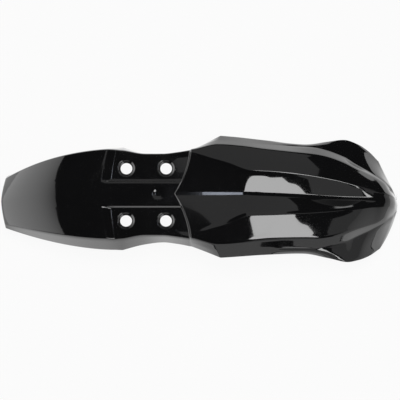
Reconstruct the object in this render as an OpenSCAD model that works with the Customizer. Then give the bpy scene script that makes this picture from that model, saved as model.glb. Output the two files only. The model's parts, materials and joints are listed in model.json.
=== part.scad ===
/* [Length] */
// From the middle of the four holes back to the tail edge
rear_len = 251; // [230:1:275]
// From the middle of the four holes forward to the nose edge
front_len = 435; // [410:1:465]
// From the middle of the four holes back to the tips of the rear ears
rear_ear_x = 40; // [36:1:50]
// From the middle of the four holes forward to the crease, on the centre line
crease_x = 49; // [46:1:53]
// How far the ends of the crease sweep forward of its middle
crease_sweep = 28; // [22:1:32]
// From the middle of the four holes forward to the tips of the front ears
front_ear_x = 127; // [118:1:138]

/* [Width] */
// Width across the tail edge
tail_w = 92; // [80:1:104]
// Width across the tips of the rear ears
rear_ear_w = 182; // [176:1:190]
// Width of the flat top between the fork legs
fork_top_w = 144; // [138:1:150]
// How far each fork flange flares out below the flat top
fork_flare = 5; // [4:1:9]
// Width across the tips of the front ears
front_ear_w = 216; // [206:1:226]
// Width across the waist, between the front ears and the wings
waist_w = 194; // [186:1:200]
// Width across the tips of the wings
wing_w = 218; // [208:1:230]
// Width across the front corners, where the nose curve starts
nose_w = 156; // [146:1:166]
// Distance between the two ridges where they start
ridge_w = 80; // [74:1:88]

/* [Height] */
// Drop of the tail edge's corners below the hole pads
tail_drop = 57; // [50:1:64]
// Drop of the rear ears
rear_ear_drop = 31; // [27:1:35]
// Drop of the fork flanges
fork_drop = 33; // [28:1:38]
// Drop of the front ears
front_ear_drop = 15; // [10:1:19]
// Drop of the wing tips
wing_drop = 45; // [40:1:50]
// Drop of the nose edge on the centre line
nose_drop = 80; // [72:1:88]
// Height of the ridges above the hole pads where they start
ridge_h = 10.5; // [9:0.5:13]
// Height of the step on the inner side of each ridge
ridge_step = 3; // [2:0.5:4]
// Height of the crease above the hole pads
crease_h = 7; // [6:0.5:9]
// Depth of the two pockets that hold the pads
pocket_d = 4; // [2.5:0.5:5]

/* [Wall] */
// Thickness of the moulded wall
wall = 3; // [2.5:0.5:3.5]
// Roundness of the shoulders between the top and the skirts
shoulder_r = 8; // [6:1:11]

/* [Mounting] */
// Distance between the front and rear holes
hole_pitch_x = 68; // [64:1:72]
// Distance between the left and right holes
hole_pitch_y = 92; // [88:1:96]
// Diameter of the holes
hole_d = 20; // [17:0.5:22]
// Width of the sloping rim of the dished seats
seat_rim = 3.5; // [3:0.5:5]
// Depth of the dished seats
seat_d = 2.5; // [1.5:0.5:3]
// Width of the raised middle between the two pockets
plateau_w = 42; // [38:1:46]
// From the middle of the four holes back to where the pockets run out
pocket_back = 79; // [74:1:84]
// Diameter of the round moulding mark on the centre line
mark_d = 17; // [12:1:22]

/* [Hidden] */
finish = [0.02, 0.02, 0.022];
hole_fn = 48;
slope_w = 3;
strip_half = 3.2;
step_w = 7.5;
foot_lead = 2;
mark_x = 21;
mark_depth = 0.8;
seat_land = 1.5;
// Row of the grid that ends in the tips of the front ears, and how far it sweeps forward there
ear_sweep = 26;
ear_row = front_ear_x - ear_sweep;
foot_row = crease_x - foot_lead;
// Row where the tail begins to narrow, and length of the ramp at the back of the pockets
tail_row = -66;
pocket_ramp = 18;
// The shoulder and the edge, where they meet the end of the crease
fork_w = fork_top_w + 2 * fork_flare;
shoulder_end = fork_top_w / 2 + 7;
flank_end = shoulder_end + 6.5;
sweep_power = 1.5;
bow_power = 1.9;
hem_sweep = crease_sweep / bow(shoulder_end / flank_end);

// Rows of the grid in each stretch, and columns between neighbouring rails
TAIL_ROWS = 11;
RAMP_ROWS = 3;
PAD_ROWS = [2, 10];
FLANK_ROWS = 5;
FRONT_ROWS = 24;
SPAN_N = [1, 2, 1, 4, 1, 5, 3, 3];
SHOULDER_N = 3;

// Place along the tail, 0 where it begins to narrow and 1 at the tail edge
function tail_t(s) = min(1, max(0, (tail_row - s) / (rear_len + tail_row)));
// Row at a share of the way from the front ears to the nose
function fore(t) = ear_row + (front_len - ear_row) * t;
function ease(t) = let (u = min(1, max(0, t))) u * u * (3 - 2 * u);
function mix(a, b, t) = a + (b - a) * t;

// Smooth curve through a table of rows, each a place and the values there, without overshoot
function span(t, s, i = 0) = i >= len(t) - 2 || s < t[i + 1][0] ? i : span(t, s, i + 1);
function rise(t, i, c) = (t[i + 1][c] - t[i][c]) / (t[i + 1][0] - t[i][0]);
function lean(t, i, c) =
    i == 0 ? rise(t, 0, c) :
    i == len(t) - 1 ? rise(t, i - 1, c) :
    let (a = rise(t, i - 1, c), b = rise(t, i, c))
    a * b <= 0 ? 0 : 2 * a * b / (a + b);
function curve(t, s, c = 1) =
    let (i = span(t, s), w = t[i + 1][0] - t[i][0], u = min(1, max(0, (s - t[i][0]) / w)))
    let (a = t[i][c], b = t[i + 1][c], p = lean(t, i, c) * w, q = lean(t, i + 1, c) * w)
    a + u * (p + u * (3 * (b - a) - 2 * p - q + u * (2 * (a - b) + p + q)));
function pair(t, s) = [curve(t, s, 1), curve(t, s, 2)];

// How far the edge of each row sweeps forward of its middle, and the share of that in the crease's bow
SWEEP = [
    [-rear_len, 8, 0], [tail_row, 12, 0], [-rear_ear_x, 0, 0], [-5, 3, 0.4],
    [foot_row, hem_sweep - 2, 1], [crease_x, hem_sweep, 1], [ear_row, ear_sweep, 0.3],
    [fore(0.3), 3, 0], [fore(0.45), 0, 0], [fore(0.725), -8, 0], [fore(0.835), -16, 0], [front_len, -32, 0]
];
// Share of a row's sweep at a share of its half width: the crease bows early, the other rows late
function bow(u) = 1 - pow(1 - u, bow_power);
function sweep(s, u) = let (w = pair(SWEEP, s)) w[0] * mix(pow(u, sweep_power), bow(u), w[1]);

// Edge of the part, half width and height, with corners at the ears
FORK_HEM = [
    [-rear_ear_x, rear_ear_w / 2, -rear_ear_drop],
    [-5, mix(fork_w, rear_ear_w, 0.26) / 2, -fork_drop],
    [20, fork_w / 2, -fork_drop],
    [37, mix(fork_w, front_ear_w, 0.12) / 2, -fork_drop + 3],
    [crease_x, flank_end, mix(-fork_drop, -front_ear_drop, 0.35)],
    [ear_row, front_ear_w / 2, -front_ear_drop]
];
FRONT_HEM = [
    [ear_row, front_ear_w / 2, -front_ear_drop],
    [fore(0.147), mix(waist_w, front_ear_w, 0.73) / 2, -front_ear_drop - 2],
    [fore(0.3), mix(waist_w, front_ear_w, 0.41) / 2, -front_ear_drop - 6],
    [fore(0.51), waist_w / 2, mix(-front_ear_drop, -wing_drop, 0.6)],
    [fore(0.65), mix(waist_w, wing_w, 0.58) / 2, mix(-front_ear_drop, -wing_drop, 0.78)],
    [fore(0.754), wing_w / 2, -wing_drop],
    [fore(0.835), mix(wing_w, nose_w, 0.16) / 2, -wing_drop - 7],
    [fore(0.925), mix(wing_w, nose_w, 0.52) / 2, -wing_drop - 18],
    [front_len, nose_w / 2, -nose_drop + 5]
];
function tail_hem(s) =
    let (t = tail_t(s))
    [mix(rear_ear_w / 2 - 0.5, tail_w / 2, pow(t, 1.75)), mix(-rear_ear_drop, -tail_drop, pow(t, 1.55))];
function hem(s) =
    s <= tail_row ? tail_hem(s) :
    s < -rear_ear_x ? pair([concat([tail_row], tail_hem(tail_row)), FORK_HEM[0]], s) :
    s < ear_row ? pair(FORK_HEM, s) : pair(FRONT_HEM, s);

// Shoulder between the top and the skirts
PAD_SHOULDER = [
    [tail_row, rear_ear_w / 2 - 11.5, 0],
    [-rear_ear_x, rear_ear_w / 2 - 13, 0],
    [-5, fork_top_w / 2 + 0.2, 0],
    [20, fork_top_w / 2 + 0.5, 0],
    [35, fork_top_w / 2 + 3, 0.5],
    [foot_row, shoulder_end - 0.7, 2]
];
FRONT_SHOULDER = [
    [crease_x, shoulder_end, 5],
    [ear_row, front_ear_w / 2 - 21.5, 4.5],
    [fore(0.147), mix(waist_w, front_ear_w, 0.73) / 2 - 21, 4],
    [fore(0.317), mix(waist_w, front_ear_w, 0.37) / 2 - 22, 1],
    [fore(0.52), waist_w / 2 - 23, -8],
    [fore(0.629), 70, -15],
    [fore(0.725), 62, -23],
    [fore(0.877), 43, -42],
    [fore(0.946), 31, -51],
    [front_len, 16, -nose_drop - 1]
];
function shoulder_y(s) =
    s <= tail_row ? mix(PAD_SHOULDER[0][1], tail_w / 2 - 5, pow(tail_t(s), 1.9)) :
    s <= foot_row ? curve(PAD_SHOULDER, s) : curve(FRONT_SHOULDER, s);

// Crease where the skirt turns out into the lip and the wings
FRONT_LIP = [
    [crease_x, shoulder_end + 3.5, -10],
    [ear_row, front_ear_w / 2 - 11, -6],
    [fore(0.147), mix(waist_w, front_ear_w, 0.73) / 2 - 10, -7],
    [fore(0.317), mix(waist_w, front_ear_w, 0.37) / 2 - 10, -12],
    [fore(0.446), waist_w / 2 - 8, -18],
    [fore(0.566), waist_w / 2 - 9, -23],
    [fore(0.629), waist_w / 2 - 12, -27],
    [fore(0.725), 76, -35],
    [fore(0.784), 66, -42],
    [fore(0.871), 52, -49],
    [fore(0.946), 37, -55],
    [fore(0.985), 26, -66],
    [front_len, 22, -nose_drop - 2]
];
function lip(s) =
    s > foot_row ? pair(FRONT_LIP, s) :
    let (h = hem(s), y = shoulder_y(s), z = deck(s, y) - pocket(s) * pocket_d)
    [mix(y, h[0], 0.5), mix(z, h[1], 0.5)];

// Top behind the crease: the deck, which rolls down to the tail, and the pockets cut in it
function deck(s, y) =
    let (t = tail_t(s))
    pocket_d - (tail_drop - 7) * pow(t, 3.4) - 14 * pow(t, 1.2) * pow(y / 70, 2);
function pocket(s) = ease((s + pocket_back) / pocket_ramp);
function pad_end(s) = s <= 20 ? 0 : curve(PAD_SHOULDER, s, 2);

// Top in front of the crease: the valley, the ridges and the step on their inner side
VALLEY = [
    [crease_x, crease_h - 0.5], [ear_row, crease_h - 0.5], [fore(0.2), crease_h - 1], [fore(0.3), 0.5],
    [fore(0.43), -8], [fore(0.52), -15], [fore(0.62), -23], [fore(0.7), -28],
    [fore(0.877), -35], [fore(0.946), -43], [fore(0.98), -56], [front_len, -nose_drop]
];
RIDGE = [
    [crease_x, shoulder_end * 0.94, crease_h - 0.5],
    [ear_row, mix(ridge_w / 2, shoulder_end, 0.6), mix(crease_h, ridge_h, 0.4)],
    [fore(0.1), mix(ridge_w / 2, shoulder_end, 0.25), mix(crease_h, ridge_h, 0.75)],
    [fore(0.207), ridge_w / 2, ridge_h],
    [fore(0.33), ridge_w / 2 - 1.5, ridge_h - 1],
    [fore(0.43), ridge_w / 2 - 3.5, ridge_h - 4.5],
    [fore(0.52), ridge_w / 2 - 6, 1],
    [fore(0.665), ridge_w / 2 - 12, -9.5],
    [fore(0.781), ridge_w / 2 - 19, -20],
    [fore(0.877), ridge_w / 2 - 25.5, -33],
    [fore(0.946), ridge_w / 2 - 29, -43],
    [fore(0.98), ridge_w / 2 - 31, -56],
    [front_len, ridge_w / 2 - 32.5, -nose_drop]
];
STEP = [
    [crease_x, shoulder_end * 0.08, 0.5], [fore(0.1), 6, 0.3 * ridge_step], [fore(0.2), step_w, ridge_step],
    [fore(0.33), step_w - 0.5, ridge_step], [fore(0.52), step_w - 2, ridge_step],
    [fore(0.781), step_w - 3, 0.8 * ridge_step], [fore(0.877), 3, 0.3 * ridge_step], [front_len, 2, 0.2]
];

// The nine rails of half a cross section, each a half width and a height
function rear_rails(s) =
    let (y = shoulder_y(s), cut = pocket(s) * pocket_d, half = plateau_w / 2)
    [
        for (r = [
            [0, 0], [strip_half, 0], [half, 0], [half + slope_w, 1], [0.86 * y, 1], [0.94 * y, 1], [y, 1]
        ])
            [r[0], deck(s, r[0]) - r[1] * cut + (r[0] > 0.9 * y ? pad_end(s) : 0)]
    ];
function front_rails(s) =
    let (v = curve(VALLEY, s), r = pair(RIDGE, s), p = pair(STEP, s), e = ease((s - crease_x) / 80))
    let (edge = [min(strip_half, r[0] * 0.3), v], foot = [r[0] - p[0], r[1] - p[1]])
    let (a = mix((plateau_w / 2 - strip_half) / (foot[0] - edge[0]), 0.3, e))
    let (b = mix((plateau_w / 2 + slope_w - strip_half) / (foot[0] - edge[0]), 0.5, e))
    [[0, v], edge, mix(edge, foot, a), mix(edge, foot, b), foot, r, pair(FRONT_SHOULDER, s)];
function rails(s) = concat(s <= foot_row ? rear_rails(s) : front_rails(s), [lip(s), hem(s)]);

// Crown of the outer panels and of the lip at the nose, between one rail and the next
function crown(k, s) =
    k == 5 ? 2 * ease((s - crease_x) / 60) * ease((front_len - s) / 60) :
    k == 7 ?
        2 * ease((s - fore(0.3)) / 60) * ease((fore(0.8) - s) / 60) - 9 * ease((s - fore(0.83)) / 60) :
    0;
function between(a, b, n, high) =
    let (d = b - a, len = max(0.001, norm(d)), up = [-d[1], d[0]] / len)
    [for (i = [1:1:n - 1]) let (t = i / n) a + d * t + up * high * 4 * t * (1 - t)];
function rounded(a, b, c, n) =
    [for (i = [0:n]) let (t = i / n) a * pow(1 - t, 2) + b * 2 * t * (1 - t) + c * t * t];
function toward(a, b, d) = a + (b - a) * min(0.45, d / max(0.001, norm(b - a)));

// Half a cross section, from the centre line to the edge of the skirt
function half_section(s) =
    let (r = rails(s), round_r = shoulder_r * mix(1, 0.5, ease((s - 20) / 60)))
    let (in = toward(r[6], r[5], round_r), out = toward(r[6], r[7], round_r))
    concat(
        [for (k = [0:4]) each concat([r[k]], between(r[k], r[k + 1], SPAN_N[k], 0))],
        [r[5]], between(r[5], in, SPAN_N[5], crown(5, s)),
        rounded(in, r[6], out, SHOULDER_N), between(out, r[7], SPAN_N[6], 0),
        [r[7]], between(r[7], r[8], SPAN_N[7], crown(7, s)), [r[8]]
    );

// A whole row, with its ends swept forward or back
function row(s) =
    let (h = half_section(s), n = len(h), w = h[n - 1][0])
    let (side = [for (p = h) [s + sweep(s, p[0] / w), p[0], p[1]]])
    concat([for (i = [n - 1:-1:1]) [side[i][0], -side[i][1], side[i][2]]], side);

function steps(a, b, n) = [for (i = [0:n - 1]) mix(a, b, i / n)];
ROWS = concat(
    steps(-rear_len, -pocket_back, TAIL_ROWS),
    steps(-pocket_back, -pocket_back + pocket_ramp, RAMP_ROWS),
    steps(-pocket_back + pocket_ramp, -rear_ear_x, PAD_ROWS[0]),
    steps(-rear_ear_x, foot_row, PAD_ROWS[1]),
    [foot_row],
    steps(crease_x, ear_row, FLANK_ROWS),
    [for (i = [0:FRONT_ROWS]) fore(1 - pow(1 - i / FRONT_ROWS, 1.35))]
);

// The wall: the outer skin, the same skin set back by the wall's thickness, and a rim round both
REACH = 3;
function unit(v) = v / norm(v);
function inward(g, i, j) =
    let (m = len(g) - 1, n = len(g[0]) - 1)
    let (along = g[min(m, i + REACH)][j] - g[max(0, i - REACH)][j])
    let (across = g[i][min(n, j + REACH)] - g[i][max(0, j - REACH)])
    -unit(cross(along, across));
module shell() {
    outer = [for (s = ROWS) row(s)];
    rows = len(outer);
    cols = len(outer[0]);
    inner = [for (i = [0:rows - 1]) [for (j = [0:cols - 1]) outer[i][j] + wall * inward(outer, i, j)]];
    points = concat([for (r = outer) each r], [for (r = inner) each r]);
    half = rows * cols;
    function at(i, j, k) = k * half + i * cols + j;
    faces = concat(
        [for (i = [0:rows - 2], j = [0:cols - 2]) each [
            [at(i, j, 0), at(i, j + 1, 0), at(i + 1, j, 0)],
            [at(i, j + 1, 0), at(i + 1, j + 1, 0), at(i + 1, j, 0)],
            [at(i, j, 1), at(i + 1, j, 1), at(i, j + 1, 1)],
            [at(i, j + 1, 1), at(i + 1, j, 1), at(i + 1, j + 1, 1)]
        ]],
        [for (i = [0:rows - 2]) each [
            [at(i, 0, 0), at(i + 1, 0, 0), at(i, 0, 1)], [at(i + 1, 0, 0), at(i + 1, 0, 1), at(i, 0, 1)],
            [at(i, cols - 1, 0), at(i, cols - 1, 1), at(i + 1, cols - 1, 0)],
            [at(i + 1, cols - 1, 0), at(i, cols - 1, 1), at(i + 1, cols - 1, 1)]
        ]],
        [for (j = [0:cols - 2]) each [
            [at(0, j, 0), at(0, j, 1), at(0, j + 1, 0)], [at(0, j + 1, 0), at(0, j, 1), at(0, j + 1, 1)],
            [at(rows - 1, j, 0), at(rows - 1, j + 1, 0), at(rows - 1, j, 1)],
            [at(rows - 1, j + 1, 0), at(rows - 1, j + 1, 1), at(rows - 1, j, 1)]
        ]]
    );
    polyhedron(points, faces, convexity = 10);
}

module at_holes() {
    for (x = [-1, 1], y = [-1, 1])
        translate([x * hole_pitch_x / 2, y * hole_pitch_y / 2, 0]) children();
}

module mudguard() {
    seat_r = hole_d / 2 + seat_land;
    rim_r = seat_r + seat_rim;
    // The flat lands of the seats lie at height 0, so the hole pads lie above it by the seats' depth
    color(finish)
        translate([0, 0, seat_d])
        difference() {
            union() {
                shell();
                at_holes() translate([0, 0, -wall - seat_d])
                    cylinder(r1 = seat_r + 1, r2 = rim_r + 1, h = seat_d + wall / 2, $fn = hole_fn);
            }
            at_holes() translate([0, 0, -seat_d])
                cylinder(r1 = seat_r, r2 = rim_r + seat_rim, h = seat_d * 2, $fn = hole_fn);
            at_holes() translate([0, 0, -wall * 4]) cylinder(d = hole_d, h = wall * 8, $fn = hole_fn);
            translate([mark_x, 0, pocket_d - mark_depth]) cylinder(d = mark_d, h = wall, $fn = hole_fn);
        }
}

mudguard();
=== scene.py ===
import json
import math

import bmesh
import bpy
import numpy as np
from mathutils import Matrix, Vector


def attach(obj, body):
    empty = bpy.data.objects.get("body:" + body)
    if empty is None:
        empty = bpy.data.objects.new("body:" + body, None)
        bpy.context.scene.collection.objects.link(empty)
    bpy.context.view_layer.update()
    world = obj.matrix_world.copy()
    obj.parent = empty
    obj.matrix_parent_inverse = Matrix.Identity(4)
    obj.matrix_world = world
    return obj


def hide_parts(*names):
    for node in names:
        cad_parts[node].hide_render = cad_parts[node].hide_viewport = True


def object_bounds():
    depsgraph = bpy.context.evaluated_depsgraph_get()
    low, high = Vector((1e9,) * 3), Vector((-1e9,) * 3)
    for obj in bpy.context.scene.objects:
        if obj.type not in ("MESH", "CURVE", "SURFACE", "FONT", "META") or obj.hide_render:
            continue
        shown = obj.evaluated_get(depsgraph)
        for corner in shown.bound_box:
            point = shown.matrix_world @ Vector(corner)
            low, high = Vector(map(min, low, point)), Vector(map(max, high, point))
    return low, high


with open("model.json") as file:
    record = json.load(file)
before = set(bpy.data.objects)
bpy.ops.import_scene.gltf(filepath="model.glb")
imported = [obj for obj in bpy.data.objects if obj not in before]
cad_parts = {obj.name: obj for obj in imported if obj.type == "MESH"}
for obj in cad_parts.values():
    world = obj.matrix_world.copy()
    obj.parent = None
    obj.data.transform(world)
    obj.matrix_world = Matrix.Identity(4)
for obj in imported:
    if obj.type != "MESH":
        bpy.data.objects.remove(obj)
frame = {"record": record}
CAD_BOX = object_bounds()
MM = 0.001

# Sizes of the moulding, in millimetres, as the frame gives them
LOW, HIGH = [np.array(corner) / MM for corner in CAD_BOX]
BOLTS = frame["record"]["mounts"][0]["dims"]
REAR_LEN = -LOW[0]
FRONT_LEN = HIGH[0]
HOLE_R = BOLTS["hole_r_mm"]
PITCH_X = BOLTS["spacing_x_mm"]
PITCH_Y = BOLTS["spacing_y_mm"]

# Places along the moulding, from the middle of the four holes
REAR_EAR_X = 40
FORK_NARROW_X = 20
CREASE_X = 49
CREASE_SWEEP = 28
FRONT_EAR_X = 127
POCKET_BACK = 79
POCKET_RAMP = 18
TAIL_ROW = -66
EAR_SWEEP = 26
EAR_ROW = FRONT_EAR_X - EAR_SWEEP
CREASE_RUN = 0.6
CREASE_FOOT = CREASE_X - CREASE_RUN

# Widths, drops and heights, with the wings a little inside the solid's box
TAIL_W = 92
REAR_EAR_W = 182
FORK_TOP_W = 144
FORK_W = 154
FRONT_EAR_W = 216
WAIST_W = 194
BOX_GAP = 0.1
WING_W = 2 * HIGH[1] - BOX_GAP
NOSE_W = 156
RIDGE_W = 80
TAIL_DROP = 57
REAR_EAR_DROP = 31
FORK_DROP = 33
FRONT_EAR_DROP = 15
WING_DROP = 45
NOSE_DROP = 80
RIDGE_H = 10.5
RIDGE_STEP = 3
CREASE_H = 7
POCKET_D = 4
PLATEAU_W = 42
SLOPE_W = 3
STRIP_HALF = 3.2
STEP_W = 7.5
SHOULDER_END = 79
FLANK_END = 85.5

# The tail's top: how far it rolls down to the tail edge, and bends down at some reach from the middle line
TAIL_ROLL = TAIL_DROP - 7
TAIL_BEND = 14
TAIL_BEND_REACH = 70

# Crown of the outer panels and of the lip, the panel width that gets all of it, the dish under the nose,
# and the length over which such forms fade in
CROWN = 2
CROWN_FULL_W = 44
NOSE_DISH = 9
FADE = 60
VALLEY_FADE = 80

# Powers of the two laws by which the rows' ends sweep forward of their middle
SWEEP_POWER = 1.5
BOW_POWER = 1.9

# Wall, edges, seats and the round mark
WALL = 3
EDGE_ROUND = 0.5
SEAT_D = 2.5
SEAT_LAND = 1.5
SEAT_RIM = 3.5
SEAT_R = HOLE_R + SEAT_LAND + SEAT_RIM
MARK_X = 21
MARK_R = 8.5
MARK_D = 0.5


def mix(a, b, t):
    return a + (b - a) * t


def ease(t):
    u = np.clip(t, 0, 1)
    return u * u * (3 - 2 * u)


def tail_t(s):
    """Share of the way along the tail, 0 where it begins to narrow and 1 at the tail edge."""
    return np.clip((TAIL_ROW - s) / (REAR_LEN + TAIL_ROW), 0, 1)


def fore(t):
    """Row at a share of the way from the front ears to the nose."""
    return EAR_ROW + (FRONT_LEN - EAR_ROW) * t


def curve(table, s, column=1):
    """Smooth curve through a table's rows, each a place and the values there, without overshoot."""
    table = np.array(table, float)
    x, v = table[:, 0], table[:, column]
    w = np.diff(x)
    rise = np.diff(v) / w
    lean = np.empty(len(x))
    lean[0], lean[-1] = rise[0], rise[-1]
    a, b = rise[:-1], rise[1:]
    steady = a * b > 0
    lean[1:-1] = np.where(steady, 2 * a * b / np.where(steady, a + b, 1), 0)
    i = np.clip(np.searchsorted(x, s, side="right") - 1, 0, len(w) - 1)
    u = np.clip((s - x[i]) / w[i], 0, 1)
    p, q, d = lean[i] * w[i], lean[i + 1] * w[i], v[i + 1] - v[i]
    return v[i] + u * (p + u * (3 * d - 2 * p - q + u * (p + q - 2 * d)))


def pair(table, s):
    return curve(table, s, 1), curve(table, s, 2)


def pick(conditions, choices):
    """Half widths and heights chosen row by row, from several stretches."""
    return tuple(np.select(conditions, [c[k] for c in choices]) for k in (0, 1))


def bow(u):
    return 1 - (1 - u) ** BOW_POWER


# How far the edge of each row sweeps forward of its middle, and the share of that in the crease's bow
HEM_SWEEP = CREASE_SWEEP / bow(SHOULDER_END / FLANK_END)
SWEEP = [
    (-REAR_LEN, 8, 0), (TAIL_ROW, 12, 0), (-REAR_EAR_X, 0, 0), (-5, 3, 0.4),
    (CREASE_FOOT, HEM_SWEEP - 2, 1), (CREASE_X, HEM_SWEEP, 1), (EAR_ROW, EAR_SWEEP, 0.3),
    (fore(0.3), 3, 0), (fore(0.45), 0, 0), (fore(0.725), -8, 0), (fore(0.835), -16, 0), (FRONT_LEN, -32, 0),
]
# Edge of the part: place, half width and height, with corners at the ears
FORK_HEM = [
    (-REAR_EAR_X, REAR_EAR_W / 2, -REAR_EAR_DROP),
    (-5, mix(FORK_W, REAR_EAR_W, 0.26) / 2, -FORK_DROP),
    (FORK_NARROW_X, FORK_W / 2, -FORK_DROP),
    (37, mix(FORK_W, FRONT_EAR_W, 0.12) / 2, -FORK_DROP + 3),
    (CREASE_X, FLANK_END, mix(-FORK_DROP, -FRONT_EAR_DROP, 0.35)),
    (EAR_ROW, FRONT_EAR_W / 2, -FRONT_EAR_DROP),
]
FRONT_HEM = [
    (EAR_ROW, FRONT_EAR_W / 2, -FRONT_EAR_DROP),
    (fore(0.147), mix(WAIST_W, FRONT_EAR_W, 0.73) / 2, -FRONT_EAR_DROP - 2),
    (fore(0.3), mix(WAIST_W, FRONT_EAR_W, 0.41) / 2, -FRONT_EAR_DROP - 6),
    (fore(0.51), WAIST_W / 2, mix(-FRONT_EAR_DROP, -WING_DROP, 0.6)),
    (fore(0.65), mix(WAIST_W, WING_W, 0.58) / 2, mix(-FRONT_EAR_DROP, -WING_DROP, 0.78)),
    (fore(0.754), WING_W / 2, -WING_DROP),
    (fore(0.835), mix(WING_W, NOSE_W, 0.16) / 2, -WING_DROP - 7),
    (fore(0.925), mix(WING_W, NOSE_W, 0.52) / 2, -WING_DROP - 18),
    (FRONT_LEN, NOSE_W / 2, -NOSE_DROP + 5),
]
# Shoulder between the top and the skirts: place, half width, and height, or height of the pads' front rim
PAD_SHOULDER = [
    (TAIL_ROW, FORK_TOP_W / 2 + 7.5, 0),
    (-REAR_EAR_X, FORK_TOP_W / 2 + 6, 0),
    (-5, FORK_TOP_W / 2 + 0.2, 0),
    (FORK_NARROW_X, FORK_TOP_W / 2 + 0.5, 0),
    (35, FORK_TOP_W / 2 + 3, 0.1),
    (CREASE_FOOT, SHOULDER_END - 0.7, 0.6),
]
FRONT_SHOULDER = [
    (CREASE_X, SHOULDER_END, 5),
    (EAR_ROW, 86.5, 4.5),
    (fore(0.147), 84, 4),
    (fore(0.317), 79, 1),
    (fore(0.52), 74, -8),
    (fore(0.629), 70, -15),
    (fore(0.725), 62, -23),
    (fore(0.877), 43, -42),
    (fore(0.946), 31, -51),
    (FRONT_LEN, 16, -NOSE_DROP - 1),
]
# Crease where the skirt turns out into the lip and the wings
FRONT_LIP = [
    (CREASE_X, 82.5, -10),
    (EAR_ROW, 97, -6),
    (fore(0.147), 95, -7),
    (fore(0.317), 91, -12),
    (fore(0.446), 89, -18),
    (fore(0.566), 88, -23),
    (fore(0.629), 85, -27),
    (fore(0.725), 76, -35),
    (fore(0.784), 66, -42),
    (fore(0.871), 52, -49),
    (fore(0.946), 37, -55),
    (fore(0.985), 26, -66),
    (FRONT_LEN, 22, -NOSE_DROP - 2),
]
# Top in front of the crease: the valley, the ridges, and the width and height of their inner step
VALLEY = [
    (CREASE_X, CREASE_H - 1.5), (EAR_ROW, CREASE_H - 1.5), (fore(0.2), CREASE_H - 1.7), (fore(0.3), 0.5),
    (fore(0.43), -8), (fore(0.52), -15), (fore(0.62), -23), (fore(0.7), -28),
    (fore(0.877), -35), (fore(0.946), -43), (fore(0.98), -56), (FRONT_LEN, -NOSE_DROP),
]
RIDGE = [
    (CREASE_X, SHOULDER_END * 0.94, CREASE_H),
    (EAR_ROW, mix(RIDGE_W / 2, SHOULDER_END, 0.55), mix(CREASE_H, RIDGE_H, 0.3)),
    (fore(0.1), mix(RIDGE_W / 2, SHOULDER_END, 0.32), mix(CREASE_H, RIDGE_H, 0.55)),
    (fore(0.19), mix(RIDGE_W / 2, SHOULDER_END, 0.05), RIDGE_H - 0.4),
    (fore(0.215), RIDGE_W / 2, RIDGE_H - 0.2),
    (fore(0.33), RIDGE_W / 2 - 1.5, RIDGE_H - 1.7),
    (fore(0.43), RIDGE_W / 2 - 3.5, RIDGE_H - 4.5),
    (fore(0.52), RIDGE_W / 2 - 6, 1),
    (fore(0.665), RIDGE_W / 2 - 12, -9.5),
    (fore(0.781), RIDGE_W / 2 - 19, -20),
    (fore(0.877), RIDGE_W / 2 - 25.5, -33),
    (fore(0.946), RIDGE_W / 2 - 29, -43),
    (fore(0.98), RIDGE_W / 2 - 31, -56),
    (FRONT_LEN, RIDGE_W / 2 - 32.5, -NOSE_DROP),
]
STEP = [
    (CREASE_X, SHOULDER_END * 0.08, 0.1),
    (EAR_ROW, 6, 0.2 * RIDGE_STEP), (fore(0.1), 6.5, 0.53 * RIDGE_STEP),
    (fore(0.19), STEP_W - 0.4, 0.92 * RIDGE_STEP), (fore(0.215), STEP_W, RIDGE_STEP),
    (fore(0.33), STEP_W - 0.5, RIDGE_STEP), (fore(0.52), STEP_W - 2, RIDGE_STEP),
    (fore(0.781), STEP_W - 3, 0.8 * RIDGE_STEP), (fore(0.877), 3, 0.3 * RIDGE_STEP), (FRONT_LEN, 2, 0.2),
]


def tail_hem(s):
    t = tail_t(s)
    half = mix(REAR_EAR_W / 2 - 0.5, TAIL_W / 2, t ** 1.75)
    return half, mix(-REAR_EAR_DROP, -TAIL_DROP, t ** 1.55)


def hem(s):
    joined = [(TAIL_ROW, REAR_EAR_W / 2 - 0.5, -REAR_EAR_DROP), FORK_HEM[0]]
    stretches = [s <= TAIL_ROW, s < -REAR_EAR_X, s < EAR_ROW, s >= EAR_ROW]
    return pick(stretches, [tail_hem(s), pair(joined, s), pair(FORK_HEM, s), pair(FRONT_HEM, s)])


def shoulder_y(s):
    tail = mix(PAD_SHOULDER[0][1], TAIL_W / 2 - 5, tail_t(s) ** 1.9)
    front = np.where(s <= CREASE_FOOT, curve(PAD_SHOULDER, s), curve(FRONT_SHOULDER, s))
    return np.where(s <= TAIL_ROW, tail, front)


def deck_bend(s):
    """How strongly the top curves down to its sides, from none to its most at the tail edge."""
    return TAIL_BEND * tail_t(s) ** 1.2 / TAIL_BEND_REACH ** 2


def deck(s, y):
    """Height of the top behind the crease, which rolls down to the tail."""
    return POCKET_D - TAIL_ROLL * tail_t(s) ** 3.4 - deck_bend(s) * y ** 2


def pocket_cut(s):
    """How deep the pads are sunk, from nothing at their back end."""
    return POCKET_D * ease((s + POCKET_BACK) / POCKET_RAMP)


def rear_rails(s):
    """Rails behind the crease: the raised middle, the pads, the shoulder, the skirt and its edge."""
    y = shoulder_y(s)
    cut = pocket_cut(s)
    half = PLATEAU_W / 2
    rim = np.where(s <= FORK_NARROW_X, 0, curve(PAD_SHOULDER, s, 2))
    rails = []
    for width, sunk, raised in (
        (0 * y, 0, 0), (0 * y + STRIP_HALF, 0, 0), (0 * y + half, 0, 0), (0 * y + half + SLOPE_W, 1, 0),
        (0.86 * y, 1, 0), (0.94 * y, 1, 1), (y, 1, 1),
    ):
        rails.append((width, deck(s, width) - sunk * cut + raised * rim))
    h = hem(s)
    rails.append((mix(y, h[0], 0.5), mix(deck(s, y) - cut, h[1], 0.5)))
    rails.append(h)
    return rails


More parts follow.
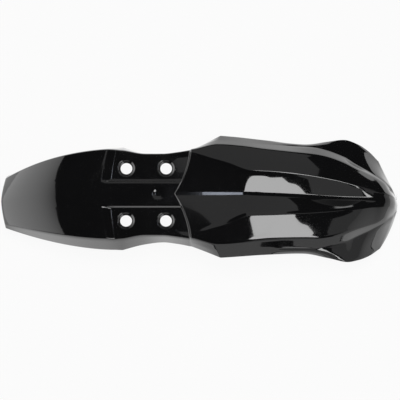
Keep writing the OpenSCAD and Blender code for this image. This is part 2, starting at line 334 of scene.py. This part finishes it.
def front_rails(s):
    """Rails in front of the crease: the valley, the stepped ridge, the shoulder, the lip and the edge."""
    v = curve(VALLEY, s)
    ridge = pair(RIDGE, s)
    step = pair(STEP, s)
    e = ease((s - CREASE_X) / VALLEY_FADE)
    edge = (np.minimum(STRIP_HALF, ridge[0] * 0.3), v)
    foot = (ridge[0] - step[0], ridge[1] - step[1])
    reach = foot[0] - edge[0]
    a = mix((PLATEAU_W / 2 - STRIP_HALF) / reach, 0.3, e)
    b = mix((PLATEAU_W / 2 + SLOPE_W - STRIP_HALF) / reach, 0.5, e)
    inner = [tuple(mix(edge[k], foot[k], t) for k in (0, 1)) for t in (a, b)]
    return [(0 * v, v), edge, *inner, foot, ridge, pair(FRONT_SHOULDER, s), pair(FRONT_LIP, s), hem(s)]


def rails(s):
    """The nine rails of half a cross section at each row, as rows x rails x (half width, height)."""
    rear = np.array(rear_rails(s))
    front = np.array(front_rails(np.maximum(s, CREASE_X)))
    return np.where((s <= CREASE_FOOT)[None, None, :], rear, front).transpose(2, 0, 1)


# Spans with a crown and the rail of the shoulder, counted from the middle line
OUTER_PANEL = 5
LIP = 7
SHOULDER = 6


def crown(k, s, width):
    """How far a span between two rails rises over its straight chord of some width."""
    if k < OUTER_PANEL:
        return np.where(s < CREASE_FOOT, deck_bend(s) * (width / 2) ** 2, 0)
    if k == OUTER_PANEL:
        full = np.minimum(1, (width / CROWN_FULL_W) ** 2)
        return CROWN * full * ease((s - CREASE_X) / FADE) * ease((FRONT_LEN - s) / FADE)
    if k == LIP:
        lip = CROWN * ease((s - fore(0.3)) / FADE) * ease((fore(0.8) - s) / FADE)
        return lip - NOSE_DISH * ease((s - fore(0.83)) / FADE)
    return 0 * s


# Columns in each span between rails, and size and columns of the rounding on each rail
SPAN_COLUMNS = [2, 7, 2, 17, 3, 12, 7, 8]
ROUND_SIZE = [0, 0.5, 1.1, 1.1, 1.1, 1.3, 8, 2.2]
ROUND_COLUMNS = [0, 2, 3, 3, 4, 4, 7, 3]


def round_size(k, s):
    """The shoulders are round behind the crease and tighter in front of it."""
    share = mix(1, 0.5, ease((s - FORK_NARROW_X) / FADE)) if k == SHOULDER else 1 + 0 * s
    return (ROUND_SIZE[k] * share)[:, None]


def toward(a, b, d):
    """Point at a distance from one rail towards the next, and never as far as halfway."""
    step = b - a
    length = np.maximum(np.linalg.norm(step, axis=1, keepdims=True), 1e-6)
    return a + step * np.minimum(0.45, d / length)


def half_sections(s):
    """Half cross sections at each row, as rows x columns x (half width, height)."""
    r = rails(s)
    before = [None] + [toward(r[:, k], r[:, k - 1], round_size(k, s)) for k in range(1, 8)] + [r[:, 8]]
    after = [r[:, 0]] + [toward(r[:, k], r[:, k + 1], round_size(k, s)) for k in range(1, 8)]
    columns = [r[:, 0]]
    for k in range(8):
        a, b = after[k], before[k + 1]
        d = b - a
        up = np.stack([-d[:, 1], d[:, 0]], 1) / np.maximum(np.linalg.norm(d, axis=1, keepdims=True), 1e-6)
        high = crown(k, s, d[:, 0])[:, None]
        for i in range(1, SPAN_COLUMNS[k] + 1):
            t = i / SPAN_COLUMNS[k]
            columns.append(a + d * t + up * high * 4 * t * (1 - t))
        if k < 7:
            corner, far = r[:, k + 1], after[k + 1]
            for i in range(1, ROUND_COLUMNS[k + 1] + 1):
                t = i / ROUND_COLUMNS[k + 1]
                columns.append(b * (1 - t) ** 2 + corner * 2 * t * (1 - t) + far * t * t)
    return np.stack(columns, 1)


def sharp_rows(s):
    """Half rows in space, as rows x columns x 3, with their ends swept forward or back."""
    half = half_sections(np.asarray(s, float))
    share = half[:, :, 0] / half[:, -1:, 0]
    lead, bowed = [column[:, None] for column in pair(SWEEP, s)]
    x = s[:, None] + lead * mix(share ** SWEEP_POWER, bow(share), bowed)
    return np.dstack([x, half[:, :, 0], half[:, :, 1]])


def crease_rows(s):
    """Rows near the crease, where the wall between its foot and its top is a straight ramp."""
    t = np.clip((s - CREASE_FOOT) / (CREASE_X - CREASE_FOOT), 0, 1)[:, None, None]
    below = sharp_rows(np.minimum(s, CREASE_FOOT))
    above = sharp_rows(np.maximum(s, CREASE_X))
    return below * (1 - t) + above * t


# How far to each side the cross creases are rounded along the moulding, and from how many samples
ROUND_ROWS = 0.4
ROUND_TAPS = 9


def skin_rows(s):
    """Rows of the outer skin, averaged along the moulding beside its cross creases to round them."""
    rows = crease_rows(s)
    near = np.zeros(len(s))
    for place in (CREASE_FOOT, CREASE_X):
        near = np.maximum(near, np.abs(s - place) < ROUND_ROWS * 1.5)
    picked = s[near > 0]
    shifts = np.linspace(-ROUND_ROWS, ROUND_ROWS, ROUND_TAPS)
    rows[near > 0] = np.mean([crease_rows(picked + d) for d in shifts], axis=0)
    return rows


def stretch(a, b, step):
    n = max(1, round((b - a) / step))
    return [mix(a, b, i / n) for i in range(n)]


def row_places():
    """Where the rows lie: closer at the cross creases, through the seats and at the nose."""
    fine, seat, plain = 0.23, 2.0, 3.5
    pocket_front = POCKET_RAMP - POCKET_BACK
    places = stretch(-REAR_LEN, -POCKET_BACK, plain)
    places += stretch(-POCKET_BACK, pocket_front, seat * 0.8)
    places += stretch(pocket_front, -REAR_EAR_X, seat)
    places += stretch(-REAR_EAR_X, CREASE_FOOT - 2, seat)
    places += stretch(CREASE_FOOT - 2, CREASE_X + 2, fine)
    places += stretch(CREASE_X + 2, EAR_ROW, plain * 0.8)
    front_rows = 104
    places += [fore(1 - (1 - i / front_rows) ** 1.25) for i in range(front_rows + 1)]
    return np.array(places)


# Each seat's patch: how far it reaches across the moulding and along it before the plain grid goes on
PATCH = SEAT_R + 2.5
PATCH_LENGTH = PATCH + 2.2
# Rings of points in a seat, by how far each lies outside the seat's rim
SEAT_RINGS = [1.2, 0.6, 0.1, -0.4, -1.2, -2.4, -3.4, -3.9, -4.4]


def skin_grid():
    """Both sides of the outer skin as a grid of points."""
    half = skin_rows(row_places())
    mirrored = half[:, :0:-1] * np.array([1, -1, 1])
    return np.concatenate([mirrored, half], axis=1)


def patch_range(values, centre, reach):
    inside = np.where(np.abs(values - centre) < reach)[0]
    return inside[0], inside[-1]


def build_skin():
    """The outer skin as one sheet with rings round the four holes, its open edges marked for rounding."""
    grid = skin_grid()
    rows, columns = grid.shape[:2]
    mesh = bmesh.new()
    at = [[mesh.verts.new(grid[i, j]) for j in range(columns)] for i in range(rows)]
    open_cells = set()
    middle_row = grid[np.argmin(np.abs(grid[:, columns // 2, 0])), :, 1]
    for cx in (-PITCH_X / 2, PITCH_X / 2):
        for cy in (-PITCH_Y / 2, PITCH_Y / 2):
            i0, i1 = patch_range(grid[:, np.argmin(np.abs(middle_row - cy)), 0], cx, PATCH_LENGTH)
            j0, j1 = patch_range(middle_row, cy, PATCH)
            open_cells |= {(i, j) for i in range(i0, i1) for j in range(j0, j1)}
            rim = [at[i0][j] for j in range(j0, j1)] + [at[i][j1] for i in range(i0, i1)]
            rim += [at[i1][j] for j in range(j1, j0, -1)] + [at[i][j0] for i in range(i1, i0, -1)]
            ring_seat(mesh, rim, cx, cy)
            for i in range(i0 + 1, i1):
                for j in range(j0 + 1, j1):
                    mesh.verts.remove(at[i][j])
    for i in range(rows - 1):
        for j in range(columns - 1):
            if (i, j) not in open_cells:
                mesh.faces.new((at[i][j], at[i + 1][j], at[i + 1][j + 1], at[i][j + 1]))
    rounded = mesh.edges.layers.float.new("bevel_weight_edge")
    for edge in mesh.edges:
        edge[rounded] = float(edge.is_boundary)
    return mesh


def ring_seat(mesh, rim, cx, cy):
    """Rings of faces from a square patch's rim in to the hole's edge."""
    radii = [SEAT_R + e for e in SEAT_RINGS] + [HOLE_R]
    angles = [math.atan2(v.co.y - cy, v.co.x - cx) for v in rim]
    outer = rim
    for radius in radii:
        ring = [mesh.verts.new((cx + radius * math.cos(a), cy + radius * math.sin(a), 0)) for a in angles]
        for k in range(len(rim)):
            n = (k + 1) % len(rim)
            mesh.faces.new((outer[k], ring[k], ring[n], outer[n]))
        outer = ring


# Inputs of the seats' tree, in millimetres, and the flat share of the round mark's radius
SEAT_SIZES = {
    "Pitch X": PITCH_X,
    "Pitch Y": PITCH_Y,
    "Land Radius": HOLE_R + SEAT_LAND,
    "Rim Radius": SEAT_R,
    "Seat Depth": SEAT_D,
    "Mark X": MARK_X,
    "Mark Radius": MARK_R,
    "Mark Depth": MARK_D,
}
MARK_FLAT = 0.82


def press_tree():
    """Nodes that press the dished seats and the round moulding mark into the skin."""
    tree = bpy.data.node_groups.new("press_seats", "GeometryNodeTree")
    face = tree.interface
    face.new_socket("Geometry", in_out="INPUT", socket_type="NodeSocketGeometry")
    for name in SEAT_SIZES:
        face.new_socket(name, in_out="INPUT", socket_type="NodeSocketFloat")
    face.new_socket("Finish", in_out="INPUT", socket_type="NodeSocketMaterial")
    face.new_socket("Geometry", in_out="OUTPUT", socket_type="NodeSocketGeometry")
    nodes, links = tree.nodes, tree.links
    given = nodes.new("NodeGroupInput")
    result = nodes.new("NodeGroupOutput")

    def maths(operation, a, b=None):
        node = nodes.new("ShaderNodeMath")
        node.operation = operation
        for socket, value in zip(node.inputs, (a, b)):
            if isinstance(value, (int, float)):
                socket.default_value = value
            elif value is not None:
                links.new(value, socket)
        return node.outputs[0]

    def distance(x, y):
        return maths("SQRT", maths("ADD", maths("MULTIPLY", x, x), maths("MULTIPLY", y, y)))

    def press(away, inner, outer, depth):
        ramp = nodes.new("ShaderNodeMapRange")
        ramp.interpolation_type = "SMOOTHSTEP"
        links.new(away, ramp.inputs["Value"])
        links.new(inner, ramp.inputs["From Min"])
        links.new(outer, ramp.inputs["From Max"])
        ramp.inputs["To Min"].default_value = 1
        ramp.inputs["To Max"].default_value = 0
        return maths("MULTIPLY", ramp.outputs[0], depth)

    place = nodes.new("GeometryNodeInputPosition")
    split = nodes.new("ShaderNodeSeparateXYZ")
    links.new(place.outputs[0], split.inputs[0])
    sizes = given.outputs
    off_x = maths("SUBTRACT", maths("ABSOLUTE", split.outputs["X"]), maths("DIVIDE", sizes["Pitch X"], 2))
    off_y = maths("SUBTRACT", maths("ABSOLUTE", split.outputs["Y"]), maths("DIVIDE", sizes["Pitch Y"], 2))
    seat_away = distance(off_x, off_y)
    seat = press(seat_away, sizes["Land Radius"], sizes["Rim Radius"], sizes["Seat Depth"])
    mark_away = distance(maths("SUBTRACT", split.outputs["X"], sizes["Mark X"]), split.outputs["Y"])
    mark_flat = maths("MULTIPLY", sizes["Mark Radius"], MARK_FLAT)
    mark = press(mark_away, mark_flat, sizes["Mark Radius"], sizes["Mark Depth"])
    down = nodes.new("ShaderNodeCombineXYZ")
    links.new(maths("MULTIPLY", maths("ADD", seat, mark), -1), down.inputs["Z"])
    move = nodes.new("GeometryNodeSetPosition")
    links.new(given.outputs["Geometry"], move.inputs["Geometry"])
    links.new(down.outputs[0], move.inputs["Offset"])
    real = nodes.new("GeometryNodeRealizeInstances")
    links.new(move.outputs[0], real.inputs[0])
    coat = nodes.new("GeometryNodeSetMaterial")
    links.new(real.outputs[0], coat.inputs["Geometry"])
    links.new(given.outputs["Finish"], coat.inputs["Material"])
    links.new(coat.outputs[0], result.inputs[0])
    return tree


def gloss_black():
    """Polished black moulding: near-black, a clear gloss, faint waves and faint wear in the gloss."""
    material = bpy.data.materials.new("gloss_black_plastic")
    material.use_nodes = True
    nodes, links = material.node_tree.nodes, material.node_tree.links
    shader = nodes["Principled BSDF"]
    place = nodes.new("ShaderNodeTexCoord")

    def noise(scale, detail):
        node = nodes.new("ShaderNodeTexNoise")
        node.inputs["Scale"].default_value = scale
        node.inputs["Detail"].default_value = detail
        links.new(place.outputs["Object"], node.inputs["Vector"])
        return node

    tint = nodes.new("ShaderNodeValToRGB")
    tint.color_ramp.elements[0].color = (0.0035, 0.0036, 0.0042, 1)
    tint.color_ramp.elements[1].color = (0.0075, 0.0075, 0.008, 1)
    links.new(noise(14, 4).outputs["Fac"], tint.inputs["Fac"])
    links.new(tint.outputs["Color"], shader.inputs["Base Color"])
    gloss = nodes.new("ShaderNodeMapRange")
    gloss.inputs["From Min"].default_value = 0.35
    gloss.inputs["From Max"].default_value = 0.75
    gloss.inputs["To Min"].default_value = 0.045
    gloss.inputs["To Max"].default_value = 0.095
    links.new(noise(38, 6).outputs["Fac"], gloss.inputs["Value"])
    links.new(gloss.outputs["Result"], shader.inputs["Roughness"])
    shader.inputs["IOR"].default_value = 1.6
    shader.inputs["Coat Weight"].default_value = 1
    shader.inputs["Coat Roughness"].default_value = 0.015
    shader.inputs["Coat IOR"].default_value = 1.6
    waves = nodes.new("ShaderNodeBump")
    waves.inputs["Strength"].default_value = 0.015
    waves.inputs["Distance"].default_value = 0.002
    links.new(noise(11, 1).outputs["Fac"], waves.inputs["Height"])
    grain = nodes.new("ShaderNodeBump")
    grain.inputs["Strength"].default_value = 0.01
    grain.inputs["Distance"].default_value = 0.0004
    links.new(noise(420, 2).outputs["Fac"], grain.inputs["Height"])
    links.new(waves.outputs["Normal"], grain.inputs["Normal"])
    links.new(grain.outputs["Normal"], shader.inputs["Normal"])
    return material


def mudguard_shell(material):
    """The whole moulding, with its wall, its pressed seats and its rounded edges, as one plain mesh."""
    sheet = build_skin()
    data = bpy.data.meshes.new("mudguard_shell")
    sheet.to_mesh(data)
    sheet.free()
    data.transform(Matrix.Scale(MM, 4) @ Matrix.Translation((0, 0, SEAT_D)))
    shell = bpy.data.objects.new("mudguard_shell", data)
    bpy.context.scene.collection.objects.link(shell)
    wall = shell.modifiers.new("wall", "SOLIDIFY")
    wall.thickness = WALL * MM
    wall.offset = -1
    press = shell.modifiers.new("press", "NODES")
    tree = press_tree()
    press.node_group = tree
    for item in tree.interface.items_tree:
        if item.in_out == "INPUT" and item.name in SEAT_SIZES:
            press[item.identifier] = SEAT_SIZES[item.name] * MM
        elif item.in_out == "INPUT" and item.name == "Finish":
            press[item.identifier] = material
    edges = shell.modifiers.new("edges", "BEVEL")
    edges.width = EDGE_ROUND * MM
    edges.segments = 2
    edges.use_clamp_overlap = False
    edges.limit_method = "WEIGHT"
    bpy.context.view_layer.update()
    seen = shell.evaluated_get(bpy.context.evaluated_depsgraph_get())
    plain = bpy.data.meshes.new_from_object(seen)
    shell.modifiers.clear()
    shell.data = plain
    plain.materials.clear()
    plain.materials.append(material)
    for polygon in plain.polygons:
        polygon.material_index = 0
        polygon.use_smooth = True
    return shell


# Share of even white in the floor's finish, and the floor's size and distance under the nose in metres
FLOOR_WHITE = 0.93
FLOOR_R = 9
FLOOR_GAP = 0.004


def pale_studio():
    """Pale finish: white to the camera and in reflections, with a little shading for the shadow."""
    material = bpy.data.materials.new("pale_studio")
    material.use_nodes = True
    nodes, links = material.node_tree.nodes, material.node_tree.links
    shader = nodes["Principled BSDF"]
    shader.inputs["Base Color"].default_value = (0.86, 0.86, 0.86, 1)
    shader.inputs["Roughness"].default_value = 0.9
    glow = nodes.new("ShaderNodeEmission")
    glow.inputs["Color"].default_value = (1, 1, 1, 1)
    glow.inputs["Strength"].default_value = 1
    path = nodes.new("ShaderNodeLightPath")
    total = path.outputs["Is Camera Ray"]
    for ray in ("Is Glossy Ray", "Is Transmission Ray"):
        add = nodes.new("ShaderNodeMath")
        add.operation = "ADD"
        add.use_clamp = True
        links.new(total, add.inputs[0])
        links.new(path.outputs[ray], add.inputs[1])
        total = add.outputs[0]
    share = nodes.new("ShaderNodeMath")
    share.operation = "MULTIPLY"
    share.inputs[1].default_value = FLOOR_WHITE
    links.new(total, share.inputs[0])
    mixed = nodes.new("ShaderNodeMixShader")
    links.new(share.outputs[0], mixed.inputs["Fac"])
    links.new(shader.outputs[0], mixed.inputs[1])
    links.new(glow.outputs[0], mixed.inputs[2])
    links.new(mixed.outputs[0], nodes["Material Output"].inputs["Surface"])
    return material


def studio_floor(height):
    """Plain round pale floor."""
    mesh = bmesh.new()
    bmesh.ops.create_circle(mesh, cap_ends=True, segments=96, radius=FLOOR_R)
    bmesh.ops.translate(mesh, verts=mesh.verts, vec=(0, 0, height))
    data = bpy.data.meshes.new("floor")
    mesh.to_mesh(data)
    mesh.free()
    floor = bpy.data.objects.new("floor", data)
    bpy.context.scene.collection.objects.link(floor)
    data.materials.append(pale_studio())


# What the camera looks at, how far away it is, how many degrees it leans to the near side,
# and how high the ceiling's panels hang, with lengths in metres
TARGET = Vector(((FRONT_LEN - REAR_LEN) / 2 * MM, -0.0045, -0.02))
DISTANCE = 4.5
TILT = 14
CEILING = 4.0


def panel_glow(name, tint, glow, low_glow, top):
    """Glow of a panel, with one strength at its top and another at the floor."""
    material = bpy.data.materials.new(name)
    material.use_nodes = True
    nodes, links = material.node_tree.nodes, material.node_tree.links
    nodes.remove(nodes["Principled BSDF"])
    light = nodes.new("ShaderNodeEmission")
    light.inputs["Color"].default_value = (*tint, 1)
    place = nodes.new("ShaderNodeTexCoord")
    split = nodes.new("ShaderNodeSeparateXYZ")
    links.new(place.outputs["Object"], split.inputs[0])
    grow = nodes.new("ShaderNodeMapRange")
    grow.inputs["From Max"].default_value = top
    grow.inputs["To Min"].default_value = low_glow
    grow.inputs["To Max"].default_value = glow
    links.new(split.outputs["Z"], grow.inputs["Value"])
    links.new(grow.outputs[0], light.inputs["Strength"])
    links.new(light.outputs[0], nodes["Material Output"].inputs["Surface"])
    return material


def panel(name, corners, glow, low_glow=None, tint=(1, 1, 1)):
    """Flat light panel seen only in reflections, its corners in metres, evenly bright unless told."""
    data = bpy.data.meshes.new(name)
    data.from_pydata(corners, [], [range(len(corners))])
    box = bpy.data.objects.new(name, data)
    bpy.context.scene.collection.objects.link(box)
    top = max(z for x, y, z in corners)
    data.materials.append(panel_glow(name, tint, glow, glow if low_glow is None else low_glow, top))
    box.visible_camera = False
    box.visible_diffuse = False


def ceiling(outline):
    """Corners of a level panel at the height of the studio's ceiling, each x and y in metres."""
    return [(x, y, CEILING) for x, y in outline]


def light_studio():
    """A bright softbox and paler panels in a dark room, and an overhead lamp that isn't mirrored."""
    panel("near_softbox", ceiling([(0.34, 0.6), (1.1, -1.75), (3.3, -4.0), (1.6, 0.45)]), 3.9)
    panel("side_panel", ceiling([
        (0.02, 1.08), (-0.02, 1.17), (-0.4, 1.25), (-1.4, 8.5),
        (3.1, 8.5), (2.8, 3.2), (2.45, 1.9), (0.9, 1.08),
    ]), 0.22)
    strip = ceiling([(0.1, 0.975), (0.3, 0.975), (0.3, 1.045), (0.1, 1.045)])
    panel("strip_lamp", strip, 3.2, tint=(0.8, 0.86, 1))
    tail_outline = [
        (-1.8, 0), (-1.8, 4.2), (-0.07, 5.5), (0.9, 6.3), (1.9, 6.3),
        (3.1, 4.7), (5, 3), (12, 1.5), (12, 0),
    ]
    panel("tail_wall", [(-2.6, y, z) for y, z in tail_outline], 0.3, 1.55)
    panel("front_wall", [(4.2, -4.2, 0.4), (4.2, -4.2, 3), (4.2, 2.4, 3), (4.2, 2.4, 0.4)], 0.3, 0.6)
    panel("near_panel", ceiling([(1.6, -3.3), (1.2, -7), (3.8, -7), (3.6, -4.3)]), 0.25)
    panel("near_wall", [(-3, -5, 0.75), (6, -5, 0.75), (6, -5, 2.6), (-3, -5, 2.6)], 0.45)
    panel("front_panel", ceiling([(2.9, -0.3), (3.3, -3), (5.6, -3), (5.6, -0.3)]), 0.22)
    fill = bpy.data.lights.new("ceiling_fill", "AREA")
    fill.size = 3
    fill.energy = 110
    lamp = bpy.data.objects.new("ceiling_fill", fill)
    bpy.context.scene.collection.objects.link(lamp)
    lamp.location = TARGET + Vector((0, 0, CEILING))
    lamp.visible_glossy = False
    dark_room()


def dark_room():
    """Dark surroundings with a white band low round the horizon, where the floor ends."""
    world = bpy.data.worlds.new("dark_room")
    world.use_nodes = True
    nodes, links = world.node_tree.nodes, world.node_tree.links
    place = nodes.new("ShaderNodeTexCoord")
    split = nodes.new("ShaderNodeSeparateXYZ")
    links.new(place.outputs["Generated"], split.inputs[0])
    fade = nodes.new("ShaderNodeMapRange")
    fade.inputs["From Min"].default_value = math.sin(math.radians(5))
    fade.inputs["From Max"].default_value = math.sin(math.radians(6))
    fade.inputs["To Min"].default_value = 1
    fade.inputs["To Max"].default_value = 0.012
    links.new(split.outputs["Z"], fade.inputs["Value"])
    links.new(fade.outputs[0], nodes["Background"].inputs["Color"])
    nodes["Background"].inputs["Strength"].default_value = 1
    bpy.context.scene.world = world


def camera():
    lens = bpy.data.cameras.new("camera")
    eye = bpy.data.objects.new("camera", lens)
    bpy.context.scene.collection.objects.link(eye)
    lens.sensor_width = 36
    lens.lens = lens.sensor_width * DISTANCE / ((FRONT_LEN + REAR_LEN) * MM)
    lean = math.radians(TILT)
    away = Vector((0, -math.sin(lean), math.cos(lean)))
    eye.location = TARGET + away * DISTANCE
    eye.rotation_euler = (-away).to_track_quat("-Z", "Y").to_euler()
    bpy.context.scene.camera = eye


camera()
material = gloss_black()
shell = mudguard_shell(material)
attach(shell, "root")
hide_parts("mudguard")
studio_floor(LOW[2] * MM - FLOOR_GAP)
light_studio()
bpy.context.scene.view_settings.view_transform = "Standard"
